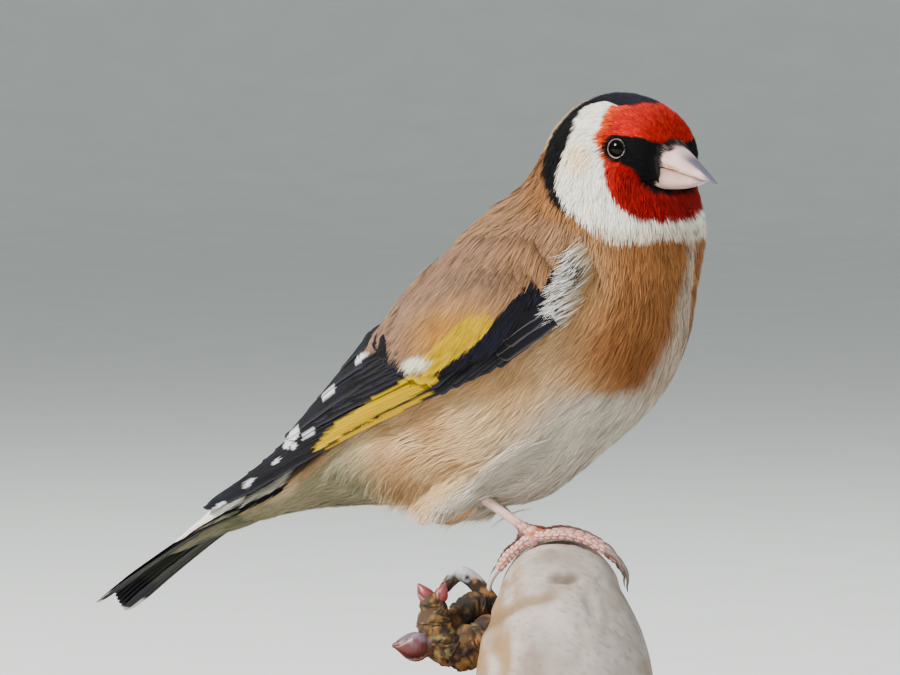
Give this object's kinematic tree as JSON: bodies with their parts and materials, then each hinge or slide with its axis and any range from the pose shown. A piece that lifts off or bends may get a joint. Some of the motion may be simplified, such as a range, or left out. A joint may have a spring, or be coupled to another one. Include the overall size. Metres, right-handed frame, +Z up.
{
  "type": "european goldfinch model",
  "caption": "Life-size European goldfinch perched on a cut length of branch, held by a plain walnut and brass display stand.",
  "frame": {"origin": "centre of the underside of the stand's flat base", "axes": "+Z up, +X the way the bird's body faces, +Y towards the bird's left"},
  "size_m": [0.1098, 0.066, 0.1095],
  "materials": {
    "plumage_brown": "matt, soft",
    "plumage_cream": "matt, soft",
    "plumage_red": "matt, soft",
    "plumage_black": "satin",
    "eye_glass": "high gloss",
    "bill_horn": "satin horn",
    "skin_pink": "scaly, satin",
    "bark_grey": "weathered bark",
    "bark_brown": "rough bark",
    "bud_red": "satin",
    "stand_walnut": "oiled",
    "stand_brass": "brushed",
    "claw_grey": "satin horn"
  },
  "bodies": {
    "root": {"torso": "plumage_brown", "neck": "plumage_cream", "head": "plumage_red", "tail": "plumage_black", "wing_left": "plumage_black", "wing_right": "plumage_black", "thigh_left": "plumage_cream", "thigh_right": "plumage_cream", "eye_left": "eye_glass", "eye_right": "eye_glass", "bill_upper": "bill_horn", "bill_lower": "bill_horn", "tarsus_left": "skin_pink", "tarsus_right": "skin_pink", "foot_left": "skin_pink", "foot_right": "skin_pink", "perch": "bark_grey", "perch_spur": "bark_brown", "bud_upper": "bud_red", "bud_middle": "bud_red", "bud_lower": "bud_red", "stand_base": "stand_walnut", "stand_rod_front": "stand_brass", "stand_rod_back": "stand_brass", "claw_left_1": "claw_grey", "claw_left_2": "claw_grey", "claw_left_3": "claw_grey", "claw_left_4": "claw_grey", "claw_right_1": "claw_grey", "claw_right_2": "claw_grey", "claw_right_3": "claw_grey", "claw_right_4": "claw_grey"}
  },
  "joints": []
}
